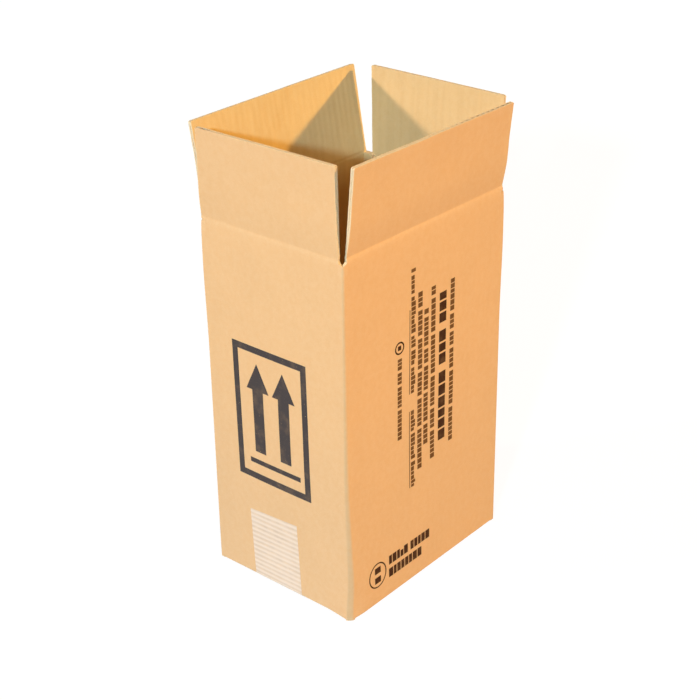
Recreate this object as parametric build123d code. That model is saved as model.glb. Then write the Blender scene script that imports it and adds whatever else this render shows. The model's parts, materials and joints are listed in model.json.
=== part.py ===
from build123d import *

import os
from math import atan, pi, radians, sin, tan

# A tall shipping box of single-wall corrugated board, standing open.
# The box is one folded blank. Its four walls, its taped bottom flaps and its glued lap are one solid. Each
# top flap is a solid of its own, because it swings on its crease, and the packing tape is another.
# Units are millimetres. +Z is up, and the origin lies on the floor under the middle of the box.
# The narrow walls face -Y (front) and +Y (back), and the wide walls face -X (left) and +X (right).

# Box, over its outer faces
OUTER_WIDTH = 140.0
OUTER_LENGTH = 190.0
CREASE_HEIGHT = 305.0

# Board: two liners with a wavy medium between them
BOARD = 3.0
LINER = 0.3
MEDIUM = 0.25
FLUTE_PITCH = 6.35
CREST_DROP = 0.16

# Folds and slots
FOLD_INNER_RADIUS = 0.5
FOLD_OUTER_RADIUS = 2.0
HEEL_RADIUS = 1.8
SLOT_WIDTH = 5.0
JOINT_SLOT_EXTRA = 4.0
SLOT_BELOW_CREASE = 0.4
CORNER_LIFT = 1.0
SEAM_GAP = 1.0
PLY_GAP = 0.2

# Top creases: the flap ends in a thin round knuckle, and the wall in a lip that it turns in
HINGE_DEPTH = 0.5
KNUCKLE_RADIUS = 0.35
HINGE_GAP = 0.1
FOLD_SHUT_ANGLE = 90.0
FOLD_BACK_ANGLE = 155.0
WEDGE_SLACK = 0.5
CRUSHED_LENGTH = 6.0
MINOR_TILT = 3.0
MAJOR_TILT = 7.5

# Glued lap inside the back wall, at the left corner
LAP_WIDTH = 35.0
LAP_BEVEL = 10.0
LAP_CLEARANCE = 2.5
LAP_PRESSED = 0.3
CUT_END_INSET = 0.6

# Packing tape
TAPE_WIDTH = 50.0
TAPE_THICKNESS = 0.1
TAPE_BED = 0.05
TAPE_HEIGHT = 64.0
TAPE_OFFSET = -5.5
TAPE_RIB_PITCH = 3.1
TAPE_RIB_WIDTH = 1.5
TAPE_RIB_HEIGHT = 0.1
TAPE_RIBS_START = 5.0

# Sizes that follow from the ones above
HALF_WIDTH = OUTER_WIDTH / 2
HALF_LENGTH = OUTER_LENGTH / 2
BOTTOM = TAPE_THICKNESS + TAPE_BED
SLOT_INSET = SLOT_WIDTH / 2 + BOARD / 2
MINOR_HALF = HALF_WIDTH - SLOT_INSET
MAJOR_HALF = HALF_LENGTH - SLOT_INSET

INNER_X = HINGE_DEPTH - BOARD
VALLEY_ANGLE = radians((180 - FOLD_BACK_ANGLE) / 2 - WEDGE_SLACK)
FLANK_ANGLE = radians((180 - FOLD_SHUT_ANGLE) / 2 - 2 * WEDGE_SLACK)
VALLEY_RISE = HINGE_DEPTH / tan(VALLEY_ANGLE)
FLANK_RISE = -INNER_X / tan(FLANK_ANGLE)

# The minor flaps close first, so their creases lie lower by a board and a gap, and their blank ends on the
# same straight cut as the major flaps
CREASE_STEP = BOARD + PLY_GAP
MAJOR_FLAP = HALF_WIDTH - HINGE_DEPTH - SEAM_GAP / 2
MINOR_FLAP = MAJOR_FLAP + CREASE_STEP
MINOR_CREASE = CREASE_HEIGHT - CREASE_STEP
SLOT_END = MINOR_CREASE - FLANK_RISE - SLOT_BELOW_CREASE

MINOR_PLY = BOTTOM + BOARD + PLY_GAP
FLOOR_TOP = MINOR_PLY + BOARD


def wall_ring():
    """The four walls in plan, with the joint of the blank's two ends at the back left corner."""
    outer = RectangleRounded(OUTER_WIDTH, OUTER_LENGTH, FOLD_OUTER_RADIUS)
    inner = RectangleRounded(OUTER_WIDTH - 2 * BOARD, OUTER_LENGTH - 2 * BOARD, FOLD_INNER_RADIUS)
    ring = outer - inner

    left = -HALF_WIDTH
    back = HALF_LENGTH
    joint_width = 2 * BOARD
    fold_y = back - 2 * BOARD + LAP_PRESSED
    min_corner = (Align.MIN, Align.MIN)
    ring -= Pos(left, fold_y) * Rectangle(joint_width, joint_width, align=min_corner)
    cut_end = Rectangle(joint_width - CUT_END_INSET, BOARD, align=min_corner)
    ring += Pos(left + CUT_END_INSET, back - BOARD) * cut_end
    fold = Circle(BOARD) & Rectangle(BOARD, BOARD, align=(Align.MAX, Align.MIN))
    ring += Pos(left + BOARD, fold_y) * fold
    ring += Pos(left + BOARD, fold_y) * Rectangle(BOARD, BOARD - LAP_PRESSED, align=min_corner)
    return ring


def glue_lap():
    """The blank's narrow end flap, glued inside the back wall, its ends cut back at a slant."""
    low = FLOOR_TOP + LAP_CLEARANCE
    high = SLOT_END - LAP_CLEARANCE
    start = -HALF_WIDTH + BOARD
    end = start + LAP_WIDTH
    outline = Polygon(
        (start, low), (end, low + LAP_BEVEL), (end, high - LAP_BEVEL), (start, high), align=None
    )
    lap_y = HALF_LENGTH - BOARD
    return Pos(0, lap_y, 0) * extrude(Plane.XZ * outline, BOARD)


def angle_section(reach, rise):
    """An L of board with a rounded fold: a flap lies along the floor, and a wall stands at x = 0."""
    outer = FilletPolyline((-reach, 0), (0, 0), (0, rise), radius=FOLD_OUTER_RADIUS)
    inner = FilletPolyline(
        (-BOARD, rise), (-BOARD, BOARD), (-reach, BOARD), radius=FOLD_INNER_RADIUS
    )
    flap_end = Line((-reach, BOARD), (-reach, 0))
    wall_end = Line((0, rise), (-BOARD, rise))
    return make_face(outer + wall_end + inner + flap_end)


def heel_section(reach, rise):
    """The fold of a minor bottom flap: the flap lies on the major ones, and its heel reaches the floor."""
    flap = Pos(0, MINOR_PLY - BOTTOM) * angle_section(reach, rise)
    heel = Rectangle(BOARD, MINOR_PLY - BOTTOM + FOLD_OUTER_RADIUS, align=(Align.MAX, Align.MIN))
    toe = heel.vertices().sort_by(Axis.Y)[:2].sort_by(Axis.X)[-1]
    return flap + fillet(toe, HEEL_RADIUS)


def along_wall(section, half_length):
    """Run a section in the XZ plane along a wall, to both sides of the middle."""
    return extrude(Plane.XZ * section, half_length, both=True)


def bottom_flaps():
    """The four bottom flaps: the minor ones inside, and the major ones under them, meeting in the middle."""
    major_reach = HALF_WIDTH - SEAM_GAP / 2
    minor_reach = HINGE_DEPTH + MINOR_FLAP
    rise = 2 * BOARD
    major = along_wall(angle_section(major_reach, rise), MAJOR_HALF)
    minor = along_wall(heel_section(minor_reach, rise), MINOR_HALF)
    for turn in (0, 180):
        yield Rot(0, 0, turn) * Pos(HALF_WIDTH, 0, BOTTOM) * major
        yield Rot(0, 0, turn + 90) * Pos(HALF_LENGTH, 0, BOTTOM) * minor


def lip_section(drop):
    """The top of a wall under its crease, with the crease's axis at the origin and outwards along +X."""
    wall = Polygon(
        (0, 0),
        (HINGE_DEPTH, -VALLEY_RISE),
        (HINGE_DEPTH, -drop),
        (INNER_X, -drop),
        (INNER_X, -FLANK_RISE),
        align=None,
    )
    return wall - Circle(KNUCKLE_RADIUS + HINGE_GAP)


def wall_lips():
    """The tops of the four walls, between the corner slots."""
    major = along_wall(lip_section(CREASE_HEIGHT - SLOT_END), MAJOR_HALF)
    minor = along_wall(lip_section(MINOR_CREASE - SLOT_END), MINOR_HALF)
    for turn in (0, 180):
        yield Rot(0, 0, turn) * Pos(HALF_WIDTH - HINGE_DEPTH, 0, CREASE_HEIGHT) * major
        yield Rot(0, 0, turn + 90) * Pos(HALF_LENGTH - HINGE_DEPTH, 0, MINOR_CREASE) * minor


def joint_trim(height):
    """What the wider slot at the blank's joint takes off the left end of the back flap and of its lip."""
    trim = Box(2 * JOINT_SLOT_EXTRA, 4 * BOARD, height, align=(Align.CENTER, Align.MIN, Align.MIN))
    return Pos(-MINOR_HALF, MAJOR_HALF + SEAM_GAP / 2, SLOT_END) * trim


def box_body():
    """Walls, lap, lips and folded bottom as one solid of board."""
    low = BOTTOM + CORNER_LIFT
    body = Pos(0, 0, low) * extrude(wall_ring(), SLOT_END - low)
    on_floor = (Align.CENTER, Align.CENTER, Align.MIN)
    fold_top = BOTTOM + FOLD_OUTER_RADIUS
    body -= Box(OUTER_WIDTH + BOARD, 2 * MAJOR_HALF, fold_top, align=on_floor)
    body -= Box(2 * MINOR_HALF, OUTER_LENGTH + BOARD, fold_top, align=on_floor)
    body += [glue_lap(), *bottom_flaps(), *wall_lips()]
    body -= joint_trim(CREASE_STEP)
    return body


def flute_tunnel():
    """One air space of the board in section: a liner along x = 0, and the medium arching over it."""
    clear = BOARD - 2 * LINER
    slope = atan(pi * (clear - MEDIUM) / FLUTE_PITCH)
    foot = FLUTE_PITCH / 4 + clear / 2 / tan(slope) - MEDIUM / (2 * sin(slope))
    crest = clear - MEDIUM
    shoulder_x = crest - CREST_DROP
    shoulder_y = foot - shoulder_x / tan(slope)
    left = Line((0, -foot), (shoulder_x, -shoulder_y))
    arch = ThreePointArc((shoulder_x, -shoulder_y), (crest, 0), (shoulder_x, shoulder_y))
    right = Line((shoulder_x, shoulder_y), (0, foot))
    base = Line((0, foot), (0, -foot))
    return make_face(left + arch + right + base)


def fluted_section(half_width):
    """The cut edge of a flap: the board's wave, with every second air space turned over."""
    section = Pos(HINGE_DEPTH - BOARD / 2, 0) * Rectangle(BOARD, 2 * half_width)
    reach = int(half_width / (FLUTE_PITCH / 2)) + 1
    from_inside = Pos(INNER_X + LINER, 0) * flute_tunnel()
    from_outside = Pos(HINGE_DEPTH - LINER, 0) * Rot(0, 0, 180) * flute_tunnel()
    tunnels = []
    for step in range(-reach, reach + 1):
        tunnel = from_outside if step % 2 else from_inside
        tunnels.append(Pos(0, step * FLUTE_PITCH / 2) * tunnel)
    return section - tunnels


def top_flap(half_width, length):
    """A flap standing straight up, its crease axis along Y through the origin, outwards along +X."""
    crushed = Polygon(
        (0, 0),
        (HINGE_DEPTH, VALLEY_RISE),
        (HINGE_DEPTH, CRUSHED_LENGTH),
        (INNER_X, CRUSHED_LENGTH),
        (INNER_X, FLANK_RISE),
        align=None,
    )
    hinge = along_wall(crushed + Circle(KNUCKLE_RADIUS), half_width)
    fluted = Pos(0, 0, CRUSHED_LENGTH) * extrude(fluted_section(half_width), length - CRUSHED_LENGTH)
    return hinge + fluted


def top_flaps():
    """The four top flaps as they stand, each leaning out from its crease."""
    major = Rot(0, MAJOR_TILT, 0) * top_flap(MAJOR_HALF, MAJOR_FLAP)
    minor = Rot(0, MINOR_TILT, 0) * top_flap(MINOR_HALF, MINOR_FLAP)
    major = Pos(HALF_WIDTH - HINGE_DEPTH, 0, CREASE_HEIGHT) * major
    minor = Pos(HALF_LENGTH - HINGE_DEPTH, 0, MINOR_CREASE) * minor
    return {
        "right_flap": major,
        "back_flap": Rot(0, 0, 90) * minor - joint_trim(2 * MINOR_FLAP),
        "left_flap": Rot(0, 0, 180) * major,
        "front_flap": Rot(0, 0, 270) * minor,
    }


def bottom_tape():
    """The strip of ribbed tape: under the bottom seam and up both narrow walls."""
    inner_length = OUTER_LENGTH + 2 * TAPE_BED
    loop_height = 2 * TAPE_HEIGHT
    loop = RectangleRounded(
        inner_length + 2 * TAPE_THICKNESS, loop_height, HEEL_RADIUS + BOTTOM
    )
    core = RectangleRounded(
        inner_length, loop_height - 2 * TAPE_THICKNESS, HEEL_RADIUS + TAPE_BED
    )
    strip = loop - core
    strip -= Pos(0, TAPE_HEIGHT) * Rectangle(2 * OUTER_LENGTH, loop_height)
    strip = Pos(0, TAPE_HEIGHT) * strip

    face = inner_length / 2 + TAPE_THICKNESS
    rib = Rectangle(TAPE_RIB_HEIGHT, TAPE_RIB_WIDTH, align=(Align.MIN, Align.MIN))
    count = int((TAPE_HEIGHT - TAPE_RIBS_START) / TAPE_RIB_PITCH)
    ribs = []
    for number in range(count):
        height = TAPE_RIBS_START + number * TAPE_RIB_PITCH
        ribs.append(Pos(face, height) * rib)
        ribs.append(mirror(Pos(face, height) * rib, Plane.YZ))
    strip += ribs
    return Pos(TAPE_OFFSET, 0, 0) * extrude(Plane.YZ * strip, TAPE_WIDTH / 2, both=True)


def main():
    os.makedirs("parts", exist_ok=True)
    nodes = {"box_body": box_body(), "bottom_tape": bottom_tape(), **top_flaps()}
    for name, solid in nodes.items():
        export_step(solid, f"parts/{name}.step")


main()
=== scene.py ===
import json
from math import ceil, cos, pi, radians, sin

import bmesh
import bpy
import numpy as np
from mathutils import Matrix, Vector


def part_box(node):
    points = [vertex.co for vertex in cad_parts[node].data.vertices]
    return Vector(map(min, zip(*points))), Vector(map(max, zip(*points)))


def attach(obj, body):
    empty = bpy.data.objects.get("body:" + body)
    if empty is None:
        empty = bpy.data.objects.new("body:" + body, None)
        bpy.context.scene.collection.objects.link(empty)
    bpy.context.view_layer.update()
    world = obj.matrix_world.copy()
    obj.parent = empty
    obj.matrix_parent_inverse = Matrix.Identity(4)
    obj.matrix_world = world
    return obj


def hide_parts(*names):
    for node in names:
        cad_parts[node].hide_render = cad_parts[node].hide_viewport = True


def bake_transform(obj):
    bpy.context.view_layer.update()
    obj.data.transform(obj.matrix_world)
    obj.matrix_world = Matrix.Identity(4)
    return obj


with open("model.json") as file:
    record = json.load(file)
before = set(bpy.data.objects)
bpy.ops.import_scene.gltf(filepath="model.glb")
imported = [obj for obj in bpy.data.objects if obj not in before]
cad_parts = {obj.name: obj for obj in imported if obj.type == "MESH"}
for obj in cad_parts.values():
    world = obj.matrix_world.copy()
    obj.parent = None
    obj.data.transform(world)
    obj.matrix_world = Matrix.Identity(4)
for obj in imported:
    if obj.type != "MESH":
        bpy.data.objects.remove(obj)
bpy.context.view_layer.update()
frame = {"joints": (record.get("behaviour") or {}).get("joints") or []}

# The looks of a tall corrugated shipping box that stands open. Lengths are in millimetres until a mesh is
# made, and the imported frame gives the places. The front wall faces -Y and the right wall faces +X.

MM = 0.001

# Board: two liners with a wavy medium between them, whose flutes show faintly on both faces
BOARD = 3.0
LINER = 0.3
MEDIUM = 0.25
MEDIUM_SLACK = 0.92
MEDIUM_INSET = 0.25
COLUMNS_PER_FLUTE = 10
MEDIUM_ROWS = 56
FLUTE_PITCH = 6.35
RIPPLE_OUTSIDE = 0.02
RIPPLE_INSIDE = 0.05
RIPPLE_SIDE_FADE = 5.0
RIPPLE_CREASE_SPAN = (3.0, 11.0)
COLUMN = 0.8
WALL_COLUMN = 1.05

# How far the panels bow outwards. A span says from where to where something grows, here and below.
WALL_BOW = 0.55
WALL_BOW_UNEVEN = 0.35
WALL_BOW_LOW = (0.0, 120.0)
WALL_BOW_HIGH = (292.0, 182.0)
FLAP_BOW = 0.5
FLAP_BOW_SPAN = (4.0, 44.0)
BOW_ACROSS = (1.0, 0.1)

# Creases, slots and folds
SCORE_DEPTH = 0.95
SCORE_FADE = 8.0
SHARP_SCORE_DEPTH = 0.78
SHARP_SCORE_FADE = 1.8
NARROW_SHARP_SHARE = 0.15
SCORE_ABOVE = 26.0
SCORE_ABOVE_POWER = 1.5
BEND_START = -0.5
BEND_END = 2.5
CORNER_HOLD = 0.4
HOLD_REACH = 6.0
INNER_SCORE_DEPTH = 0.3
INNER_SCORE_HALF = 1.8
RING_TOP = 292.0
SLOT_BOTTOM = 299.4
SLOT_STEP = 2.5
SLOT_ROUNDING = 2.4
SLOT_ROUNDING_SHARE = 0.98
JOINT_SLOT_BOTTOM = 302.0
JOINT_SLOT_END = 58.0
INNER_FOLD_RADIUS = 0.5
HEEL_RADIUS = 1.8
FLOOR_FOLD_RADIUS = 2.0
PLY_GAP = 0.2
LEAF_OVERLAP = 0.2
HEEL_CLEARANCE = 0.1
SEAM_HALF = 0.5
FOOT_ROUNDING = 0.5
HEAD_WEAR = 0.3
CREASE_WEAR = 0.45
CREASE_WEAR_DROP = 1.8
CREASE_WEAR_HALF = 2.0

# Cut edges: a little uneven, rubbed at the corners and crushed almost shut, but open along two stretches
RAGGED = 0.16
RAGGED_TOP_SHARE = 0.6
CRUSH_WIDTH = 1.8
SEAM_OPENING = 0.05
SEAM_UNEVEN = 0.9
CORNER_WEAR = 0.8
CORNER_WEAR_HEIGHT = 3.0
CORNER_WEAR_WIDTH = 1.6
SIDE_WEAR_WIDTH = 1.5
TOP_WEAR_HEIGHT = 1.2
RIGHT_OPEN = 0.42
RIGHT_OPEN_SPAN = (5.0, 45.0)
FRONT_OPEN = 0.85
FRONT_OPEN_SPAN = (-48.0, -58.0)

# How the empty box has settled, with its spans up (z), across (x) and along (y)
FOOT_BULGE = 4.0
FOOT_BULGE_UP = (140.0, 0.0)
FOOT_BULGE_ACROSS = (20.0, 70.0)
CORNER_CRUSH = 1.2
CORNER_CRUSH_UP = (45.0, 0.0)
CORNER_CRUSH_ACROSS = (40.0, 70.0)
CORNER_CRUSH_ALONG = (-77.0, -95.0)
CORNER_FLARE = 1.6
CORNER_FLARE_UP = (40.0, 0.0)
CORNER_FLARE_ACROSS = (45.0, 70.0)
CORNER_FLARE_ALONG = (-60.0, -90.0)
HEEL_RISE = 0.4
HEEL_PUSH = 0.2
HEEL_UP = (14.0, 0.0)
HEEL_ALONG = (-75.0, -95.0)
HEEL_SET = 0.82
HEEL_SET_ACROSS = (35.0, 70.0)
TOP_FLARE = 0.7
TOP_FLARE_LOW = (190.0, 265.0)
TOP_FLARE_HIGH = (352.0, 317.0)

# Where painted shade darkens the inside towards the box's depth
DEEP_SPAN = (303.0, 273.0)

# Painted shade: below where the outside grows darker towards the foot, and where it is darkest
FOOT_SHADE_START = 230.0
FOOT_SHADE_FULL = 20.0

# Glued lap
LAP_WIDTH = 35.0
LAP_BEVEL = 10.0
LAP_LOW = 9.0
LAP_HIGH = 290.0
CUT_END_INSET = 0.6

# Tape
TAPE_RIB_PITCH = 4.3
TAPE_RIB_HEIGHT = 0.14
TAPE_RIB_RISE = 0.030
TAPE_END_RISE = 0.061
TAPE_LIFT = 0.06
TAPE_FOOT_SHIFT = 1.2
TAPE_DRIFT = 0.045
TAPE_COLUMN = 1.6
TAPE_ROW = 0.775
TAPE_RISE_SPAN = (0.0, 25.0)
TAPE_END_HEIGHT = 12.0
TAPE_FLAT_RIB = 0.3

# Print, on the front wall (across, up) and on the right wall (along, up)
PRINT_LIFT = 0.05
PATCH_COLUMN = 1.0
PATCH_ROW = 4.0
SIGN_SKEW = 0.0165
SIGN_LEFT = -43.6
SIGN_RIGHT = 32.0
SIGN_LOW = 93.0
SIGN_HIGH = 209.6
SIGN_LINE = 5.7
ARROW_CENTRES = (-18.9, 7.7)
ARROW_TIP = 195.3
ARROW_SHOULDER = 172.4
ARROW_FOOT = 118.4
ARROW_HALF_HEAD = 11.6
ARROW_HALF_SHAFT = 5.6
BAR_LEFT = -30.6
BAR_RIGHT = 22.2
BAR_LOW = 107.4
BAR_HIGH = 111.6

# Camera, from the photograph's view
CAMERA_AZIMUTH = 41.211
CAMERA_ELEVATION = 26.463
CAMERA_ROLL = -0.89
CAMERA_DISTANCE = 1268.954
CAMERA_AIM_SIDE = -5.713
CAMERA_AIM_HEIGHT = 176.678
CAMERA_LENS = 82.1
SENSOR_WIDTH = 36.0


def smooth(t):
    """A smooth step from 0 to 1 while t goes from 0 to 1."""
    t = np.clip(t, 0.0, 1.0)
    return t * t * (3 - 2 * t)


def over(value, span):
    """A smooth step from 0 to 1 while value goes from the first to the last of span."""
    return smooth((value - span[0]) / (span[1] - span[0]))


def wander(t, seed):
    """A slow uneven wave, about 1 high, with no pattern that the eye picks out."""
    rng = np.random.default_rng(seed)
    total = np.zeros_like(np.asarray(t, float))
    for octave in range(4):
        phase = rng.uniform(0, 2 * pi)
        stretch = rng.uniform(0.8, 1.25)
        total += np.sin(t * stretch * 2.1**octave + phase) / 1.7**octave
    return total / 2.0


# Walls

body_low, body_high = (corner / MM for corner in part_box("box_body"))
board_floor = body_low.z
joints = {joint["name"]: joint for joint in frame["joints"]}


class Wall:
    """One wall of the box with its top flap: its directions, its size and its crease, from the frame."""

    def __init__(self, side, normal, tangent, seed, lean, longer, crease_shift, ends):
        self.side = side
        self.seed = seed
        self.lean = lean
        self.longer = longer
        self.shift = crease_shift
        self.normal = np.array(normal, float)
        self.tangent = np.array(tangent, float)
        joint = joints[f"{side}_flap_crease"]
        axis = np.array(joint["pos_m"]) / MM
        half = np.array([body_high.x, body_high.y])
        self.reach = float(half @ np.abs(self.normal))
        self.half_run = float(half @ np.abs(self.tangent))
        self.hinge_depth = self.reach - float(np.abs(axis[:2]) @ np.abs(self.normal))
        self.crease = float(axis[2])
        self.tilt = radians(-joint["range_deg"][0] - 90)
        low, high = (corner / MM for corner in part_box(f"{side}_flap"))
        self.flap_half = float(np.array([high.x, high.y]) @ np.abs(self.tangent))
        inner = BOARD - self.hinge_depth
        self.flap_length = (high.z - self.crease - inner * sin(self.tilt)) / cos(self.tilt)
        self.is_wide = self.half_run > self.reach
        self.ends = ends

    def bow(self, a, v):
        """How far the panel bulges: nothing at its folds and creases, most in the middle."""
        z = v + self.crease
        wall = over(z, WALL_BOW_LOW) * over(z, WALL_BOW_HIGH)
        wall = wall * (WALL_BOW + WALL_BOW_UNEVEN * wander(z / 60 + a / 75, self.seed))
        flap = over(v, FLAP_BOW_SPAN) * FLAP_BOW * wander(a / 42 + v / 60, self.seed + 7)
        return over(np.abs(a) / self.flap_half, BOW_ACROSS) * np.where(v < 0, wall, flap)

    def ripple(self, a, v, depth):
        """The washboard that the flutes press into a liner. It fades out at folds and creases."""
        fade = over(np.abs(v), RIPPLE_CREASE_SPAN)
        fade = fade * smooth((self.flap_half - np.abs(a)) / RIPPLE_SIDE_FADE)
        return depth * fade * np.cos(2 * pi * a / FLUTE_PITCH)

    def spread(self, a, v):
        """Moves places on the flap, so that its ends and its free edge run where they were cut."""
        share = 0.5 + 0.5 * a / self.flap_half
        rise = np.clip(v / self.flap_length, 0, 1)
        above = smooth((v - SLOT_BOTTOM + self.crease) / SLOT_STEP)
        first, last = (low + (high - low) * rise for low, high in self.ends)
        near, far = self.longer
        return a + above * (first + (last - first) * share - a), v + rise * (near + (far - near) * share)

    def score(self, v):
        """How deep the crease is pressed into the outer face."""
        u = v - self.shift
        sharp = SHARP_SCORE_DEPTH * (1.0 if self.is_wide else NARROW_SHARP_SHARE)
        below = SCORE_DEPTH * np.exp(np.minimum(u, 0) / SCORE_FADE)
        below += sharp * np.exp(np.minimum(u, 0) / SHARP_SCORE_FADE)
        above = (SCORE_DEPTH + sharp) * np.clip(1 - u / SCORE_ABOVE, 0, 1) ** SCORE_ABOVE_POWER
        return np.where(u < 0, below, above)

    def corner_score(self, z):
        """The crease's depth where it meets a fold. The fold keeps a wide wall from giving way fully."""
        return self.score(z - self.crease) * (CORNER_HOLD if self.is_wide else 1.0)

    def outer(self, a, v):
        """Depth of the outer face under the wall's plane. Beside a fold the crease is held up by it."""
        beside_fold = smooth((np.abs(a) - self.flap_half) / HOLD_REACH + 1) * smooth((-1 - v) / HOLD_REACH)
        held = (1 - CORNER_HOLD) * beside_fold if self.is_wide else 0.0
        return self.score(v) * (1 - held) - self.bow(a, v) - self.ripple(a, v, RIPPLE_OUTSIDE)

    def inner(self, a, v):
        """Depth of the inner face under the wall's plane."""
        score = INNER_SCORE_DEPTH * (1 - smooth(np.abs(v - self.shift) / INNER_SCORE_HALF))
        return BOARD - score - self.bow(a, v) - self.ripple(a, v, RIPPLE_INSIDE)

    def place(self, a, v, depth):
        """Points on the wall and its flap: a along it, v above the crease's axis, depth from outside."""
        a, v, depth = np.broadcast_arrays(*(np.asarray(x, float) for x in (a, v, depth)))
        out = self.hinge_depth - depth
        u = v - self.shift
        first, last = self.lean
        lean = radians(1) * (first + (last - first) * (0.5 + 0.5 * a / self.flap_half))
        turn = (self.tilt + lean) * smooth((u - BEND_START) / (BEND_END - BEND_START))
        swung_out = out * np.cos(turn) + u * np.sin(turn)
        swung_up = u * np.cos(turn) - out * np.sin(turn) + self.shift
        flat = np.multiply.outer(self.reach - self.hinge_depth + swung_out, self.normal)
        flat += np.multiply.outer(a, self.tangent)
        return np.concatenate([flat, (self.crease + swung_up)[..., None]], axis=-1)


# After the seed come the degrees that the flap leans beyond the frame's and how much longer it is, both at
# the wall's left and right end as seen from outside, then how far its crease is shifted up, and the places
# of the flap's two ends, each at the crease and at the free edge
front = Wall("front", (0, -1), (1, 0), 11, (0.5, 0.0), (0.0, 0.0), 1.4, ((-69.5, -67.0), (65.0, 67.6)))
right = Wall("right", (1, 0), (0, 1), 23, (0.0, 0.0), (-0.3, 0.3), -1.0, ((-89.3, -91.8), (93.5, 92.2)))
back = Wall("back", (0, 1), (-1, 0), 37, (0.4, 0.4), (1.2, 1.2), 0.0, ((-65.7, -66.8), (60.5, 64.5)))
left = Wall("left", (-1, 0), (0, -1), 53, (2.4, 2.4), (1.3, 0.4), -2.0, ((-92.3, -92.5), (91.0, 91.0)))
walls = (front, right, back, left)


def settle(points):
    """Moves the square box's points: its mouth is a little wider, the foot of its right wall bulges, its
    front right corner is crushed and flared at the foot, and its front heel has come off the floor."""
    x, y, z = points.T
    top = TOP_FLARE * over(z, TOP_FLARE_LOW) * over(z, TOP_FLARE_HIGH)
    bulge = FOOT_BULGE * over(z, FOOT_BULGE_UP) * over(x, FOOT_BULGE_ACROSS)
    bulge = bulge * np.clip(0.5 - y / (2 * right.half_run), 0, 1)
    crush = CORNER_CRUSH * over(z, CORNER_CRUSH_UP)
    crush = crush * over(x, CORNER_CRUSH_ACROSS) * over(y, CORNER_CRUSH_ALONG)
    flare = CORNER_FLARE * over(z, CORNER_FLARE_UP)
    flare = flare * over(x, CORNER_FLARE_ACROSS) * over(y, CORNER_FLARE_ALONG)
    heel = over(z, HEEL_UP) * over(y, HEEL_ALONG) * (1 - HEEL_SET * over(x, HEEL_SET_ACROSS))
    moved_x = x * (1 + top / right.reach) + bulge - crush
    moved_y = y * (1 + top / right.half_run) + HEEL_PUSH * heel - flare
    return np.stack([moved_x, moved_y, z + HEEL_RISE * heel], axis=1)


# Meshes

def add_object(name, data):
    made = bpy.data.objects.new(name, data)
    bpy.context.scene.collection.objects.link(made)
    return made


def rework(mesh, change):
    work = bmesh.new()
    work.from_mesh(mesh)
    change(work)
    work.to_mesh(mesh)
    work.free()


class Mesh:
    """Gathers closed shells of board, then makes one object of them."""

    def __init__(self):
        self.points = []
        self.faces = []
        self.slots = []
        self.wear = []
        self.count = 0

    def add_points(self, points, wear):
        flat = np.asarray(points, float).reshape(-1, 3)
        first = self.count
        self.points.append(flat)
        self.wear.append(np.broadcast_to(np.asarray(wear, float), points.shape[:-1]).ravel())
        self.count += len(flat)
        return first + np.arange(len(flat)).reshape(points.shape[:-1])

    def add_quads(self, near, far, slot):
        """Quads between two lines of vertex numbers, or over a grid of them."""
        quads = np.stack([near[:-1], near[1:], far[1:], far[:-1]], axis=-1)
        self.faces.extend(quads.reshape(-1, 4).tolist())
        self.slots.extend([slot] * (quads.size // 4))

    def add_grid(self, index, slot):
        for row in range(index.shape[0] - 1):
            self.add_quads(index[row], index[row + 1], slot)

    def add_shell(self, outer, inner, slots, wear_outer=0.0, wear_inner=0.0):
        """A closed shell between two grids. slots are those of the outer face, inner face and rim."""
        skin, lining, rim = slots
        a = self.add_points(outer, wear_outer)
        b = self.add_points(inner, wear_inner)
        self.add_grid(a, skin)
        self.add_grid(b, lining)
        for line in (np.s_[0, :], np.s_[-1, :], np.s_[:, 0], np.s_[:, -1]):
            self.add_quads(a[line], b[line], rim)

    def to_object(self, name, materials, sharp=40.0):
        """Makes the object, with its faces outwards and smooth between edges sharper than sharp degrees."""
        points = settle(np.concatenate(self.points)) * MM
        mesh = bpy.data.meshes.new(name)
        mesh.from_pydata(points.tolist(), [], self.faces)
        mesh.polygons.foreach_set("material_index", self.slots)
        # How much painted shade the inside gets at each point, towards the box's depth
        painted_depth_shade = over(points[:, 2] / MM, DEEP_SPAN)
        for label, values in (("wear", np.concatenate(self.wear)), ("painted_depth_shade", painted_depth_shade)):
            layer = mesh.attributes.new(label, "FLOAT", "POINT")
            layer.data.foreach_set("value", values.astype(np.float32))
        rework(mesh, lambda work: bmesh.ops.recalc_face_normals(work, faces=work.faces))
        for material in materials:
            mesh.materials.append(material)
        mesh.polygons.foreach_set("use_smooth", [True] * len(mesh.polygons))
        mesh.set_sharp_from_angle(angle=radians(sharp))
        mesh.update()
        return add_object(name, mesh)


# Node trees

def node(tree, kind, sockets=None, **settings):
    """Adds a node, sets its settings, and links or sets its inputs by name or number."""
    made = tree.nodes.new(kind)
    for name, value in settings.items():
        setattr(made, name, value)
    for key, value in (sockets or {}).items():
        if isinstance(value, bpy.types.NodeSocket):
            tree.links.new(value, made.inputs[key])
        else:
            made.inputs[key].default_value = value
    return made


def calculate(tree, operation, first, second=0.0):
    return node(tree, "ShaderNodeMath", {0: first, 1: second}, operation=operation).outputs[0]


def ramp(tree, value, low, high):
    """0 below low, 1 above high."""
    sockets = {"Value": value, "From Min": low, "From Max": high}
    return node(tree, "ShaderNodeMapRange", sockets, interpolation_type="SMOOTHSTEP").outputs["Result"]


def mix(tree, factor, first, second, blend="MIX"):
    sockets = {0: factor, 6: first, 7: second}
    return node(tree, "ShaderNodeMix", sockets, data_type="RGBA", blend_type=blend).outputs[2]


def tint(tree, colour, tone, mask, strength):
    """Carries a colour towards a tone where the mask is high."""
    return mix(tree, calculate(tree, "MULTIPLY", mask, strength), colour, tone)


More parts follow.
